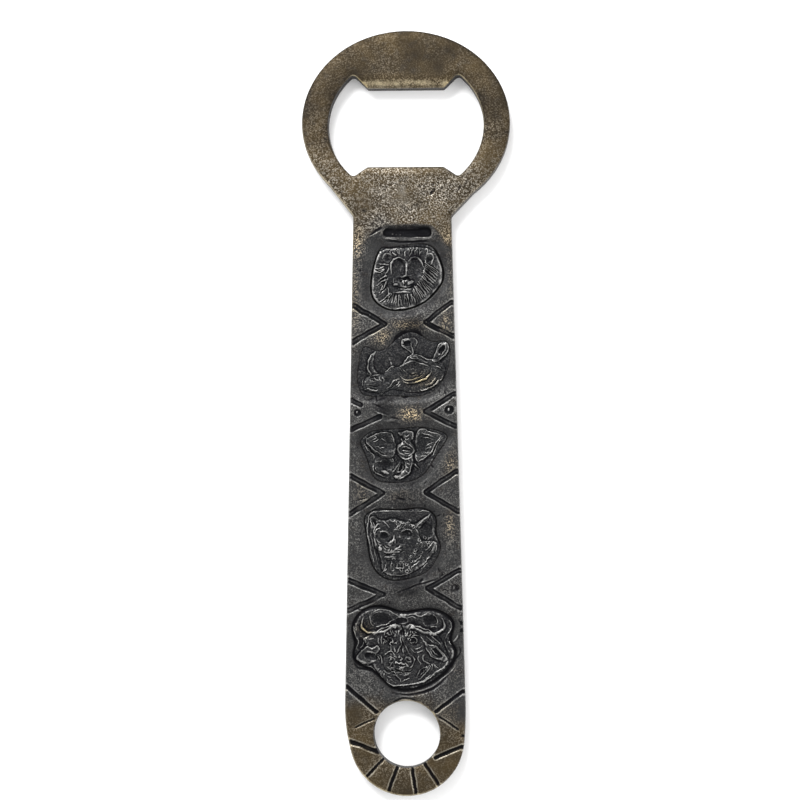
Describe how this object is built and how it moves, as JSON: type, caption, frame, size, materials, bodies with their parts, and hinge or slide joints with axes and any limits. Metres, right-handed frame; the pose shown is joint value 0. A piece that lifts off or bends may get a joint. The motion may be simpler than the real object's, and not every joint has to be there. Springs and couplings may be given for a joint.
{
  "type": "bottle opener",
  "caption": "Flat cast bar bottle opener: oval ring head with two straight lips, tapered handle with animal relief tiles between pressed chevrons, round tail eye.",
  "frame": {"origin": "middle of the footprint, on the plane of the flat back face", "axes": "+Y along the bar towards the ring head, +Z out of the relief face, +X to the right when the relief is seen with the head up"},
  "size_m": [0.0492, 0.18, 0.0051],
  "materials": {
    "cast_bronze": "antiqued, satin, rubbed at the edges",
    "dark_relief": "blackened in the hollows, rubbed on the high points"
  },
  "bodies": {
    "root": {"opener_casting": "cast_bronze", "lion_tile": "dark_relief", "rhino_tile": "dark_relief", "elephant_tile": "dark_relief", "leopard_tile": "dark_relief", "buffalo_tile": "dark_relief"}
  },
  "joints": []
}
